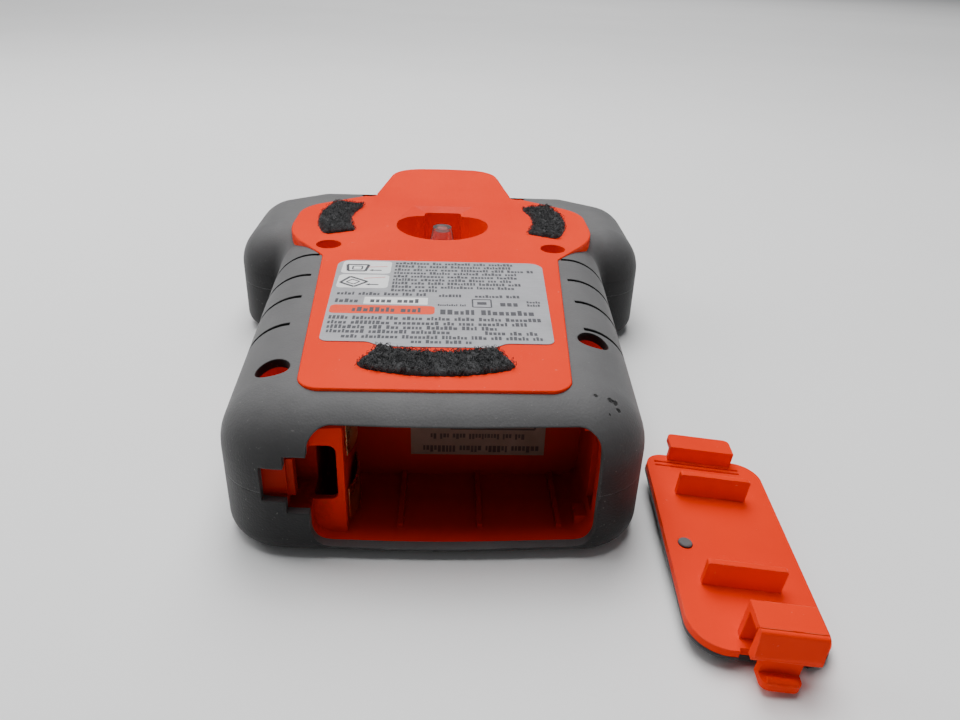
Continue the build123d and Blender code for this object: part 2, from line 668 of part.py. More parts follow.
def main():
    os.makedirs(PARTS, exist_ok=True)
    left, right = -1, 1
    housing = {
        "rear_shell": rear_shell(),
        "rear_overmould": rear_overmould(),
        "front_shell": front_shell(),
        "front_overmould": front_overmould(),
        "battery_bay": battery_bay(),
        "battery_contacts": battery_contacts(),
        "bay_label": bay_label(),
        "rear_label": rear_label(),
        "loop_patch_left": loop_patch((0, 121), 180),
        "loop_patch_right": loop_patch((0, 121), 0),
        "loop_patch_bottom": loop_patch((0, 53.6), -90),
        "hang_cone": hang_cone(),
        "housing_screws": housing_screws(),
        "laser_window_left": ear_window(left),
        "laser_window_right": ear_window(right),
        "laser_window_top": top_window(),
    }
    controls = {
        "switch_button": switch_button(),
        "lock_arm": lock_arm(),
        "brake_pad": brake_pad(),
        "detent_spring": detent_spring(),
        "circuit_board": circuit_board(),
        "board_screws": board_screws(),
        "board_parts": board_parts(),
        "slide_contact": slide_contact(),
        "battery_leads": battery_leads(),
    }
    pendulum = {
        "pendulum_frame": pendulum_frame(),
        "clamp_screws": clamp_screws(),
        "laser_barrel_left": barrel_along_x(left),
        "laser_barrel_right": barrel_along_x(right),
        "laser_barrel_top": barrel_along_y(),
        "line_lens_left": lens_along_x(left),
        "line_lens_right": lens_along_x(right),
        "line_lens_top": lens_along_y(),
        "pendulum_bearing": pendulum_bearing(),
        "pendulum_weight": pendulum_weight(),
        "damping_plate": damping_plate(),
        "damping_magnet": damping_magnet(),
        "pivot_pin": pivot_pin(),
        "pin_clip": pin_clip(),
    }
    place = lay_door()
    door = {
        "door_plate": place * door_plate(),
        "door_skin": place * door_skin(),
        "door_plug": place * door_plug(),
        "door_latch": place * door_latch(),
    }
    for group in (housing, controls, pendulum, door):
        for name, shape in group.items():
            write(name, shape)


main()
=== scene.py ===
"""Looks of a self-levelling wall laser level, lying on its front face with its battery door off."""

import math
import random

import bmesh
import bpy
from mathutils import Matrix, Vector


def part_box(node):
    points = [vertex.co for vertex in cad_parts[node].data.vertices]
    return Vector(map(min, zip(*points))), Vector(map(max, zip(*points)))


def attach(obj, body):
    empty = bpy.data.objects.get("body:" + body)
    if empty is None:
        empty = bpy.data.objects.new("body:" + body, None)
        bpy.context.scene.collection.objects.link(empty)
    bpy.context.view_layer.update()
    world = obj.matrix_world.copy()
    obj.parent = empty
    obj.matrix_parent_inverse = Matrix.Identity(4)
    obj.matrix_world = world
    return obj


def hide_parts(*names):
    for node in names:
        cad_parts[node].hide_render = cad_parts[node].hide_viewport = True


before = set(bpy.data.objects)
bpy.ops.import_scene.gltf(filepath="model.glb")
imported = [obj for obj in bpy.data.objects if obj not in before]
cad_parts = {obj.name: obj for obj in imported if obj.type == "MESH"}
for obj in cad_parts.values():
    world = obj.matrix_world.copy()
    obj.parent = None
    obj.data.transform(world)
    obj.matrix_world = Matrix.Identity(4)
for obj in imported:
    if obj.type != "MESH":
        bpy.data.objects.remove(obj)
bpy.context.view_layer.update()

MM = 0.001


# ---------------------------------------------------------------- node-based materials

class Shader:
    """A material with one Principled BSDF, and short ways to add nodes to it.
    Noise scales are per metre, and bump distances are in metres."""

    def __init__(self, name, roughness=0.5, metallic=0.0, **sockets):
        self.material = bpy.data.materials.new(name)
        self.material.use_nodes = True
        self.tree = self.material.node_tree
        self.tree.nodes.clear()
        output = self.tree.nodes.new("ShaderNodeOutputMaterial")
        self.bsdf = self.tree.nodes.new("ShaderNodeBsdfPrincipled")
        self.tree.links.new(self.bsdf.outputs[0], output.inputs[0])
        self.bsdf.inputs["Roughness"].default_value = roughness
        self.bsdf.inputs["Metallic"].default_value = metallic
        for socket, value in sockets.items():
            self.bsdf.inputs[socket.replace("_", " ")].default_value = value
        coordinates = self.tree.nodes.new("ShaderNodeTexCoord")
        self.place = coordinates.outputs["Object"]
        self.normal = None

    def node(self, kind, **inputs):
        """A new node, with its inputs linked or set and its other properties set by name."""
        made = self.tree.nodes.new("ShaderNode" + kind)
        for key, value in inputs.items():
            name = key.replace("_", " ")
            if hasattr(value, "is_output"):
                self.tree.links.new(value, made.inputs[name])
            elif name in made.inputs:
                made.inputs[name].default_value = value
            else:
                setattr(made, key, value)
        return made

    def stretched(self, scale, turn=0.0):
        """Coordinates stretched by a factor along each axis, then turned about Z by radians."""
        mapping = self.node("Mapping", Vector=self.place)
        mapping.inputs["Rotation"].default_value = (0, 0, turn)
        mapping.inputs["Scale"].default_value = scale
        return mapping.outputs[0]

    def noise(self, scale, detail=4.0, roughness=0.55, distortion=0.0, vector=None):
        """Soft cloudy noise."""
        made = self.node("TexNoise", Vector=vector or self.place, Scale=scale, Detail=detail,
                         Roughness=roughness, Distortion=distortion)
        return made.outputs["Fac"]

    def speckle(self, scale, randomness=1.0, feature="F1"):
        """Cells, by the distance to their middles or to their edges."""
        made = self.node("TexVoronoi", Vector=self.place, Scale=scale, Randomness=randomness)
        made.feature = feature
        return made.outputs["Distance"]

    def ramp(self, value, *stops):
        """A ramp of greys from (place, grey) stops."""
        made = self.node("ValToRGB", Fac=value)
        elements = made.color_ramp.elements
        while len(elements) < len(stops):
            elements.new(0.5)
        for element, (position, grey) in zip(elements, stops):
            element.position = position
            element.color = (grey, grey, grey, 1)
        return made.outputs["Color"]

    def mix(self, amount, first, second):
        """The first colour where the amount is 0, and the second where it is 1."""
        made = self.node("MixRGB")
        self.tree.links.new(amount, made.inputs[0])
        for index, value in ((1, first), (2, second)):
            if hasattr(value, "is_output"):
                self.tree.links.new(value, made.inputs[index])
            else:
                made.inputs[index].default_value = (*value, 1)
        return made.outputs[0]

    def arithmetic(self, operation, first, second):
        """The result of an operation on two sockets or numbers."""
        made = self.node("Math", operation=operation)
        for index, value in enumerate((first, second)):
            if hasattr(value, "is_output"):
                self.tree.links.new(value, made.inputs[index])
            else:
                made.inputs[index].default_value = value
        return made.outputs[0]

    def times(self, first, second):
        return self.arithmetic("MULTIPLY", first, second)

    def colour(self, value):
        self.tree.links.new(value, self.bsdf.inputs["Base Color"])

    def roughness(self, value):
        self.tree.links.new(value, self.bsdf.inputs["Roughness"])

    def depth(self, axis, low, high):
        """0 at one place along an axis and 1 at another, in millimetres of the object's frame."""
        parts = self.node("SeparateXYZ", Vector=self.place)
        made = self.node("MapRange", Value=parts.outputs[axis], From_Min=low * MM, From_Max=high * MM)
        return made.outputs[0]

    def near(self, point, radius, ragged):
        """1 well within a ragged blot about a point, and 0 outside it, sizes in millimetres."""
        core = 0.6 * radius
        wander = self.node("TexNoise", Vector=self.place, Scale=900.0, Detail=4.0)
        shift = self.node("VectorMath", operation="SCALE", Scale=ragged * MM)
        self.tree.links.new(wander.outputs["Color"], shift.inputs[0])
        moved = self.node("VectorMath", operation="ADD")
        self.tree.links.new(self.place, moved.inputs[0])
        self.tree.links.new(shift.outputs[0], moved.inputs[1])
        far = self.node("VectorMath", operation="DISTANCE")
        self.tree.links.new(moved.outputs[0], far.inputs[0])
        far.inputs[1].default_value = [(value + ragged / 2) * MM for value in point]
        made = self.node("MapRange", Value=far.outputs["Value"], From_Min=radius * MM, From_Max=core * MM)
        return made.outputs[0]

    def upward(self, low, high):
        """0 where a face is steep and 1 where it looks up, between two slopes."""
        normal = self.node("NewGeometry").outputs["Normal"]
        parts = self.node("SeparateXYZ", Vector=normal)
        made = self.node("MapRange", Value=parts.outputs["Z"], From_Min=low, From_Max=high)
        return made.outputs[0]

    def rounded_normal(self, radius):
        """The normal as if every edge had a radius, in millimetres."""
        return self.node("Bevel", samples=4, Radius=radius * MM).outputs[0]

    def worn_edges(self, radius):
        """1 on outside and inside edges: where a rounded normal leaves the true one."""
        true = self.node("NewGeometry")
        facing = self.node("VectorMath", operation="DOT_PRODUCT")
        self.tree.links.new(self.rounded_normal(radius), facing.inputs[0])
        self.tree.links.new(true.outputs["Normal"], facing.inputs[1])
        return self.ramp(facing.outputs["Value"], (0.80, 1.0), (0.97, 0.0))

    def use_normal(self, socket):
        """Makes a normal the one that the surface has, and that further relief starts from."""
        self.normal = socket
        self.tree.links.new(socket, self.bsdf.inputs["Normal"])

    def soften(self, radius):
        """Rounds the look of every edge."""
        self.use_normal(self.rounded_normal(radius))

    def bump(self, height, distance, strength=1.0):
        """Relief on top of the relief so far."""
        made = self.node("Bump", Height=height, Distance=distance, Strength=strength)
        if self.normal is not None:
            self.tree.links.new(self.normal, made.inputs["Normal"])
        self.use_normal(made.outputs[0])


def shade(colour, factor, lift=0.0):
    """A colour made darker by a factor, then lifted."""
    return tuple(value * factor + lift for value in colour)


# ---------------------------------------------------------------- materials of the object

ORANGE, ORANGE_DARK = (0.93, 0.034, 0.0), (0.84, 0.024, 0.0)
DOOR_ORANGE = (0.93, 0.032, 0.0)
RUBBED_ORANGE = (0.95, 0.22, 0.12)
DUSTY_ORANGE = (0.75, 0.5, 0.42)
# Painted shade: the bay's colours are darker copies of the shell's orange
BAY_SHADED_RED, BAY_SHADED_RED_DARK = (0.75, 0.022, 0.006), (0.6, 0.016, 0.005)
SWITCH_RED, SWITCH_RED_DARK = (0.6, 0.012, 0.006), (0.5, 0.01, 0.005)
RUBBER, RUBBER_WORN = (0.0045, 0.0045, 0.005), (0.010, 0.010, 0.0105)
DOOR_RUBBER, DOOR_RUBBER_WORN = (0.012, 0.012, 0.0125), (0.026, 0.026, 0.027)
# Painted top light: the pale tone that the rubber's upward faces take
RUBBER_TOP_LIGHT = (0.115, 0.114, 0.116)
RUBBER_SCRATCH = (0.2, 0.2, 0.2)
RUBBER_EDGE = (0.10, 0.10, 0.10)
RUBBER_NICK = (0.006, 0.006, 0.006)
LINT = (0.26, 0.25, 0.24)
BRASS = (0.80, 0.58, 0.28)

# Painted shade: places along Y, in millimetres, where the bay's colour starts to darken and where it is
# darkest
BAY_SHADE_DEPTHS = (-82, -66)

# Painted shade about the latch keeper beside the bay: its middle, radius and raggedness in millimetres
KEEPER = (-37, -80, 15)
KEEPER_SHADE = 17
KEEPER_RAGGED = 8

# Nicks in the rubber over the right lower corner: place and radius in millimetres
NICKS = (((33.5, -72.7, 35.0), 0.55), ((36.6, -73.0, 34.1), 0.75), ((37.5, -73.3, 33.6), 0.9),
         ((38.0, -74.8, 32.7), 0.7), ((36.0, -76.4, 32.7), 0.35))
NICK_RAGGED = 0.9
NICK_DEPTH = 0.4

# Turns of the noise behind each set of fine scratches in the rubber, so that the sets differ
SCRATCH_TURNS = (0.5, -0.7)


def orange_plastic(name, base, dark, roughness=0.45, painted_shade_depths=None):
    """Moulded ABS: faint flow marks, fine spark grain, dust and rubbed edges.
    Painted shade depths darken it towards the bottom of a hollow, with more painted shade about the keeper,
    in place of dust and wear."""
    s = Shader(name, roughness=roughness, Specular_IOR_Level=0.06)
    s.soften(0.25)
    tone = s.mix(s.ramp(s.noise(28, detail=3), (0.3, 0.0), (0.7, 1.0)), base, dark)
    flow = s.noise(9, detail=3, distortion=1.5, vector=s.stretched((1, 0.4, 1)))
    tone = s.mix(s.times(s.ramp(flow, (0.45, 0.0), (0.62, 1.0)), 0.25), tone, dark)
    if painted_shade_depths:
        # Painted shade: darker towards the bottom of the bay
        tone = s.mix(s.depth("Y", *painted_shade_depths), tone, shade(dark, 0.5, 0.004))
        # Painted shade: a darker blot about the keeper at the bay's mouth
        grime_and_shade = s.times(s.near(KEEPER, KEEPER_SHADE, KEEPER_RAGGED), 0.8)
        tone = s.mix(grime_and_shade, tone, shade(dark, 0.35))
    else:
        edge = s.times(s.worn_edges(0.35), s.ramp(s.noise(260), (0.42, 0.0), (0.6, 0.5)))
        tone = s.mix(edge, tone, RUBBED_ORANGE)
        specks = s.ramp(s.noise(900, detail=2), (0.71, 0.0), (0.78, 1.0))
        tone = s.mix(s.times(specks, 0.2), tone, DUSTY_ORANGE)
    s.colour(tone)
    marks = s.noise(60, detail=8, roughness=0.7, vector=s.stretched((1, 0.15, 1)))
    s.roughness(s.ramp(marks, (0.35, roughness - 0.08), (0.65, roughness + 0.12)))
    s.bump(s.noise(2600, detail=2), 0.00006, 0.25)
    s.bump(s.noise(35, detail=2), 0.0006, 0.12)
    return s.material


def rubber(name, base, worn, nicks=()):
    """Soft overmould: pebbled grain, rubbed stretches, painted top light on upward faces, scratches, lint
    and nicks.
    """
    s = Shader(name, roughness=0.62, Specular_IOR_Level=0.3, Sheen_Weight=0.12, Sheen_Roughness=0.5)
    s.soften(0.5)
    cloud = s.noise(18, detail=6, roughness=0.6)
    tone = s.mix(s.ramp(cloud, (0.35, 0.0), (0.72, 1.0)), base, worn)
    # Painted top light: upward faces lighter, as if lit from above, in a mottle
    top_light_mottle = s.ramp(s.noise(45, detail=8, roughness=0.72), (0.35, 0.75), (0.7, 1.0))
    tone = s.mix(s.times(s.upward(0.0, 0.85), top_light_mottle), tone, RUBBER_TOP_LIGHT)
    lint = s.ramp(s.noise(1500, detail=3), (0.67, 0.0), (0.74, 1.0))
    tone = s.mix(s.times(lint, 0.3), tone, LINT)
    for turn in SCRATCH_TURNS:
        lines = s.noise(42, detail=5, roughness=0.8, vector=s.stretched((1, 16, 1), turn))
        scratch = s.ramp(lines, (0.66, 0.0), (0.70, 1.0))
        tone = s.mix(s.times(scratch, 0.22), tone, RUBBER_SCRATCH)
    edge = s.times(s.worn_edges(0.6), s.ramp(s.noise(320), (0.4, 0.1), (0.62, 0.55)))
    tone = s.mix(edge, tone, RUBBER_EDGE)
    for place, radius in nicks:
        blot = s.near(place, radius, NICK_RAGGED)
        tone = s.mix(blot, tone, RUBBER_NICK)
        s.bump(s.arithmetic("SUBTRACT", 1.0, blot), NICK_DEPTH * MM, 0.9)
    s.colour(tone)
    s.roughness(s.ramp(cloud, (0.3, 0.55), (0.7, 0.72)))
    s.bump(s.speckle(1900), 0.00012, 0.35)
    s.bump(s.noise(500, detail=3), 0.00015, 0.2)
    return s.material


def metal(name, base, roughness=0.3, grain=(1, 1, 12), relief=0.2):
    """Plain metal with a brushed or cast grain."""
    s = Shader(name, roughness=roughness, metallic=1.0)
    s.soften(0.12)
    lines = s.noise(700, detail=4, vector=s.stretched(grain))
    s.colour(s.mix(s.ramp(lines, (0.3, 0.0), (0.7, 1.0)), shade(base, 0.85), base))
    s.roughness(s.ramp(s.noise(90, detail=5), (0.3, roughness - 0.06), (0.7, roughness + 0.14)))
    s.bump(lines, 0.00005, relief)
    return s.material


def film(name, base, tint, roughness, dirt=0.12):
    """A label film or paper: very fine grain, faint lifting and patches of grime."""
    s = Shader(name, roughness=roughness, Specular_IOR_Level=0.3)
    grain = s.noise(240, detail=5, vector=s.stretched((1, 9, 1)))
    tone = s.mix(s.ramp(grain, (0.3, 0.0), (0.7, 1.0)), base, tint)
    grime_and_shade = s.ramp(s.noise(70, detail=7, roughness=0.7), (0.5, 0.0), (0.75, dirt * 3))
    s.colour(s.mix(grime_and_shade, tone, shade(base, 0.6)))
    s.roughness(s.ramp(s.noise(40, detail=4), (0.3, roughness - 0.07), (0.7, roughness + 0.1)))
    s.bump(s.noise(90, detail=3), 0.0002, 0.12)
    return s.material


def ink(name, base):
    """Screen-printed ink, a little uneven and rubbed."""
    s = Shader(name, Specular_IOR_Level=0.3)
    rubbed = s.ramp(s.noise(420, detail=6, roughness=0.7), (0.45, 0.0), (0.8, 0.7))
    s.colour(s.mix(rubbed, base, shade(base, 0.85, 0.015)))
    s.roughness(s.ramp(s.noise(300, detail=3), (0.3, 0.4), (0.7, 0.6)))
    s.bump(s.noise(800, detail=2), 0.00002, 0.3)
    return s.material


def clear_plastic(name, tint=(0.98, 0.93, 0.92), roughness=0.08):
    """Clear moulding with faint haze and mould marks."""
    s = Shader(name, roughness=roughness, Transmission_Weight=0.92, IOR=1.49)
    haze = s.ramp(s.noise(300, detail=3), (0.3, 0.0), (0.7, 1.0))
    s.colour(s.mix(haze, tint, shade(tint, 0.94)))
    s.roughness(s.ramp(s.noise(500, detail=4), (0.35, roughness * 0.5), (0.7, roughness * 2)))
    s.bump(s.noise(220, detail=2), 0.0001, 0.2)
    return s.material


def plain_plastic(name, base):
    """Small inner mouldings."""
    s = Shader(name, roughness=0.45)
    s.soften(0.15)
    tone = s.ramp(s.noise(60, detail=5), (0.3, 0.0), (0.7, 1.0))
    s.colour(s.mix(tone, base, shade(base, 0.8)))
    s.roughness(s.ramp(s.noise(200, detail=4), (0.3, 0.39), (0.7, 0.55)))
    s.bump(s.noise(1600, detail=2), 0.00006, 0.3)
    return s.material


def circuit_green(name):
    """Solder mask over copper tracks."""
    s = Shader(name, roughness=0.3, Coat_Weight=0.4, Coat_Roughness=0.15)
    tracks = s.ramp(s.speckle(260, randomness=0.4, feature="DISTANCE_TO_EDGE"), (0.04, 1.0), (0.07, 0.0))
    s.colour(s.mix(tracks, (0.012, 0.11, 0.03), (0.03, 0.22, 0.06)))
    s.roughness(s.ramp(s.noise(150, detail=3), (0.3, 0.24), (0.7, 0.38)))
    s.bump(tracks, 0.00005, 0.5)
    return s.material


def loop_fabric(name):
    """Nylon loop pile, near black, with greyer tips."""
    s = Shader(name, roughness=0.8, Specular_IOR_Level=0.25, Sheen_Weight=0.2, Sheen_Roughness=0.6)
    tips = s.ramp(s.noise(900, detail=4), (0.4, 0.0), (0.72, 1.0))
    s.colour(s.mix(tips, (0.004, 0.004, 0.005), (0.020, 0.020, 0.023)))
    s.roughness(s.ramp(s.noise(600, detail=3), (0.3, 0.65), (0.7, 0.9)))
    s.bump(s.noise(2200, detail=3), 0.0002, 0.6)
    return s.material


def dress(material, *nodes):
    """Gives CAD nodes a material in all their slots."""
    for name in nodes:
        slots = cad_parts[name].data.materials
        if not slots:
            slots.append(material)
        for index in range(len(slots)):
            slots[index] = material


def three(stem):
    """The names of the three copies of a laser part."""
    return [stem + side for side in ("_left", "_right", "_top")]


def dress_plastics():
    dress(orange_plastic("shell_orange", ORANGE, ORANGE_DARK), "rear_shell", "front_shell")
    dress(orange_plastic("door_orange", DOOR_ORANGE, ORANGE_DARK, 0.40), "door_plate", "door_latch")
    # The bay takes a darker orange as painted shade
    dress(orange_plastic("bay_red_painted_shade", BAY_SHADED_RED, BAY_SHADED_RED_DARK, 0.40, BAY_SHADE_DEPTHS), "battery_bay")
    dress(orange_plastic("switch_red", SWITCH_RED, SWITCH_RED_DARK, 0.38), "switch_button")
    dress(plain_plastic("black_moulding", (0.02, 0.02, 0.022)), "lock_arm", "slide_contact", "board_parts")
    dress(plain_plastic("lead_jacket", (0.35, 0.012, 0.01)), "battery_leads")
    dress(circuit_green("solder_mask"), "circuit_board")


def dress_soft_parts():
    dress(rubber("overmould_grey", RUBBER, RUBBER_WORN, NICKS), "rear_overmould", "front_overmould")
    dress(rubber("door_rubber", DOOR_RUBBER, DOOR_RUBBER_WORN), "door_skin", "door_plug", "brake_pad")
    dress(film("label_film", (0.40, 0.40, 0.42), (0.34, 0.34, 0.36), 0.42, 0.2), "rear_label")
    dress(film("sticker_paper", (0.20, 0.12, 0.09), (0.17, 0.10, 0.07), 0.7), "bay_label")


def dress_clear_parts():
    dress(clear_plastic("clear_cone"), "hang_cone")
    dress(clear_plastic("clear_window", (0.8, 0.25, 0.22), 0.12), *three("laser_window"))
    dress(clear_plastic("lens_glass", (0.95, 0.97, 0.98), 0.03), *three("line_lens"))


def dress_metals():
    dress(metal("contact_gold", (0.80, 0.60, 0.30), 0.25), "battery_contacts")
    dress(metal("turned_brass", BRASS, 0.28, (12, 1, 1)), *three("laser_barrel"), "pendulum_weight")
    dress(metal("zinc_steel", (0.62, 0.62, 0.64)), "housing_screws", "board_screws", "clamp_screws",
          "detent_spring", "pendulum_bearing", "pivot_pin", "pin_clip", "damping_magnet")
    dress(metal("bare_copper", (0.85, 0.42, 0.26), 0.32), "damping_plate")
    dress(metal("cast_alloy", (0.55, 0.56, 0.58), 0.5, (1, 1, 1), 0.5), "pendulum_frame")


# ---------------------------------------------------------------- printed marks

def add_piece(name, body, material, vertices, faces, smooth=False):
    """A mesh piece that rides a body and takes the given material."""
    mesh = bpy.data.meshes.new(name)
    mesh.from_pydata(vertices, [], faces)
    mesh.update()
    if smooth:
        mesh.polygons.foreach_set("use_smooth", [True] * len(mesh.polygons))
    mesh.materials.append(material)
    piece = bpy.data.objects.new(name, mesh)
    bpy.context.scene.collection.objects.link(piece)
    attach(piece, body)
    return piece


class Print:
    """Flat printed shapes of one colour, laid on a plane as thin plates. Units are millimetres."""

    THICK = 0.03
    CORNER_STEPS = 5

    # A line of print: widths of its blocks, gaps and low blocks as parts of the line's height
    BLOCK_WIDTHS = (0.26, 0.48)
    BLOCK_GAP = 0.15
    WORD_GAP = 0.45
    LOW_BLOCK = 0.72
    TALL_SHARE = 0.4
    WORD_LENGTHS = (3, 10)

    def __init__(self, origin, right, up):
        self.origin, self.right, self.up = Vector(origin), Vector(right), Vector(up)
        self.normal = self.right.cross(self.up)
        self.vertices, self.faces = [], []

    def plate(self, corners):
        """One plate from its corners, counter-clockwise."""
        first, count = len(self.vertices), len(corners)
        for lift in (0, self.THICK):
            for across, along in corners:
                place = self.right * across + self.up * along + self.normal * lift
                self.vertices.append(self.origin + place * MM)
        bottom = list(range(first, first + count))
        top = [index + count for index in bottom]
        self.faces.append(top)
        self.faces.append(bottom[::-1])
        for here, after in zip(range(count), list(range(1, count)) + [0]):
            self.faces.append([bottom[here], bottom[after], top[after], top[here]])

    def block(self, left, low, right, high):
        """A rectangle."""
        self.plate([(left, low), (right, low), (right, high), (left, high)])

    def rounded(self, left, low, right, high, radius):
        """A rectangle with round corners."""
        corners = []
        centres = ((right - radius, high - radius), (left + radius, high - radius),
                   (left + radius, low + radius), (right - radius, low + radius))
        for quarter, (across, along) in enumerate(centres):
            for step in range(self.CORNER_STEPS + 1):
                turn = math.radians(90 * (quarter + step / self.CORNER_STEPS))
                corners.append((across + radius * math.cos(turn), along + radius * math.sin(turn)))
        self.plate(corners)

    def stroke(self, start, end, width):
        """A straight line of a given width."""
        along = (Vector(end) - Vector(start)).normalized()
        side = Vector((-along.y, along.x)) * width / 2
        self.plate([Vector(start) - side, Vector(end) - side, Vector(end) + side, Vector(start) + side])

    def loop(self, points, width):
        """A closed line through points."""
        for here, after in zip(points, points[1:] + points[:1]):
            self.stroke(here, after, width)

    def words(self, left, right, base, height, draw):
        """A row of blocks of uneven height that stands for a line of text."""
        place = left
        while place < right - height:
            for _ in range(draw.randint(*self.WORD_LENGTHS)):
                width = height * draw.uniform(*self.BLOCK_WIDTHS)
                if place + width > right:
                    break
                tall = height * (1.0 if draw.random() < self.TALL_SHARE else self.LOW_BLOCK)
                self.block(place, base, place + width, base + tall)
                place += width + height * self.BLOCK_GAP
            place += height * self.WORD_GAP

    def finish(self, name, slot, material):
        add_piece(name, "housing", material, self.vertices, self.faces)


# Print sinks this far into its label, and dark print lies this far over the boxes, in millimetres
SINK = 0.005
OVERPRINT = 0.02

# The picture boxes at the label's left: low edges, and turns of the level in them in degrees
PICTURES = ((-9.6, 0), (-20.0, 35))
PICTURE_LEFT = -27.6
PICTURE_RIGHT = -13.9
PICTURE_TALL = 9.4
PICTURE_CORNER = 1.4

# The even lines of print beside the pictures, from the top one down
LINE_ENDS = (21.5, 20.1, 26.2, 21.5, 21.6, 20.0, 23.7, 21.0, 1.7)
LINE_START = -12.8
LINE_BASE = -2.1
LINE_PITCH = 2.48
LINE_TALL = 1.75

# The other lines of print: start, end, base line and height
ROWS = ((-26.6, -3.2, -24.7, 1.9), (-0.1, 7.2, -25.1, 1.7), (9.3, 21.5, -25.1, 1.7),
        (-26.5, -20.7, -29.6, 2.3), (-17.6, -4.6, -29.4, 2.6), (-0.3, 7.2, -30.8, 1.1),
        (15.7, 21.6, -30.4, 2.9), (22.6, 26.4, -30.2, 1.3), (22.6, 26.4, -28.2, 1.3),
        (-21.6, -2.4, -35.1, 2.7), (0.4, 25.4, -36.0, 2.9),
        (-26.7, 26.0, -39.6, 1.95), (-26.6, 22.1, -42.3, 1.95), (-26.4, 14.4, -44.8, 1.95),
        (-26.2, 3.6, -47.2, 1.95), (11.2, 25.7, -47.2, 1.95),
        (-22.4, 25.2, -49.8, 1.8), (-6.1, 8.5, -52.1, 1.7))

# Plain shapes: left, low, right and high edges
WHITE_STRIP = (-19.2, -30.3, -2.9, -25.9)
ORANGE_BAR = (-27.2, -36.2, -1.0, -31.1)
MARK_FRAME = (8.6, -31.2, 13.4, -26.4)
MARK_BLOCK = (9.8, -29.6, 12.2, -28.0)


def outline(left, low, right, high):
    """The corners of a rectangle."""
    return [(left, low), (right, low), (right, high), (left, high)]


def pictogram(dark, red, left, low, degrees):
    """A generic level with a line from it, and an arrow that points at it."""
    turn = math.radians(degrees)
    raised = 1 if degrees else 0
    centre = Vector((left + 4.3, low + 4.3))
    ray_start = centre + Vector((2.6, 0.4 + raised * 2))
    ray_end = (left + 12.6, low + 5.4 + raised * 2.4)
    arrow_height = low + 2.4
    arrow_tip, arrow_neck, arrow_end = left + 7.6, left + 8.8, left + 11.2

    def turned(points):
        return [centre + Vector((across * math.cos(turn) + along * math.sin(turn),
                                 along * math.cos(turn) - across * math.sin(turn)))
                for across, along in points]

    dark.loop(turned([(-2.4, -2.6), (2.4, -2.6), (3.0, 2.2), (-3.0, 2.2)]), 0.8)
    dark.loop(turned(outline(-1.3, -1.4, 1.3, 1.0)), 0.45)
    dark.stroke((left + 8.6, arrow_height), (arrow_end, arrow_height), 0.6)
    dark.plate([(arrow_tip, arrow_height), (arrow_neck, arrow_height - 0.7),
                (arrow_neck, arrow_height + 0.7)])
    red.stroke(ray_start, ray_end, 0.3)


def rear_label_print():
    """Generic marks in the places of the label's print: no letters, names, numbers or symbols."""
    draw = random.Random(11)
    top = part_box("rear_label")[1].z - SINK * MM
    white, bar = (Print((0, 0, top), (1, 0, 0), (0, 1, 0)) for _ in range(2))
    dark, red = (Print((0, 0, top + OVERPRINT * MM), (1, 0, 0), (0, 1, 0)) for _ in range(2))
    for low, degrees in PICTURES:
        white.rounded(PICTURE_LEFT, low, PICTURE_RIGHT, low + PICTURE_TALL, PICTURE_CORNER)
        pictogram(dark, red, PICTURE_LEFT, low, degrees)
    for line, end in enumerate(LINE_ENDS):
        dark.words(LINE_START, end, LINE_BASE - LINE_PITCH * line, LINE_TALL, draw)
    for row in ROWS:
        dark.words(*row, draw)
    dark.loop(outline(*MARK_FRAME), 0.4)
    dark.block(*MARK_BLOCK)
    white.block(*WHITE_STRIP)
    bar.rounded(*ORANGE_BAR, 1.3)
    white.finish("label_white_boxes", "label", ink("ink_white", (0.80, 0.80, 0.80)))
    bar.finish("label_orange_bar", "label", ink("ink_orange", (0.88, 0.05, 0.0)))
    dark.finish("label_dark_print", "label", ink("ink_grey", (0.06, 0.06, 0.07)))
    red.finish("label_red_lines", "label", ink("ink_red", (0.7, 0.05, 0.03)))


def bay_label_print():
    """Generic marks on the sticker in the bay, which reads upside down."""
    draw = random.Random(5)
    low, high = (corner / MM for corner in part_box("bay_label"))
    dark = Print((high.x * MM, (low.y + SINK) * MM, high.z * MM), (-1, 0, 0), (0, 0, -1))
    wide, tall = high.x - low.x, high.z - low.z
    dark.words(1.4, wide - 1.8, tall - 2.6, 1.8, draw)
    dark.words(5.0, wide - 4.2, tall - 6.0, 1.5, draw)
    dark.loop(outline(2.6, 1.6, wide - 9.4, tall - 7.4), 0.5)
    dark.finish("bay_label_print", "sticker", ink("ink_brown", (0.05, 0.02, 0.015)))


# ---------------------------------------------------------------- loop patches

# Ring sectors about a point, like the hook tape that they meet: centre and direction in degrees
PATCHES = {"loop_patch_left": ((0, 41.0), 180), "loop_patch_right": ((0, 41.0), 0),
           "loop_patch_bottom": ((0, -26.4), -90)}
PATCH_IN, PATCH_OUT = 30.2, 41.0
PATCH_WIDE = PATCH_OUT - PATCH_IN
PATCH_HALF_ANGLE = 26.0

# The knitted backing, in millimetres
PAD_HEIGHT = 0.85
PAD_BORDER = 0.9  # width of the rounded border
PAD_CORNER = 1.6  # reach of the cut corners
PAD_LUMP = 0.16  # unevenness of the top
PAD_RAGGED = 0.18  # unevenness of the border
PAD_SUNK = 0.02  # depth of the underside below the patch's seat
PAD_RINGS, PAD_SPOKES = 16, 72

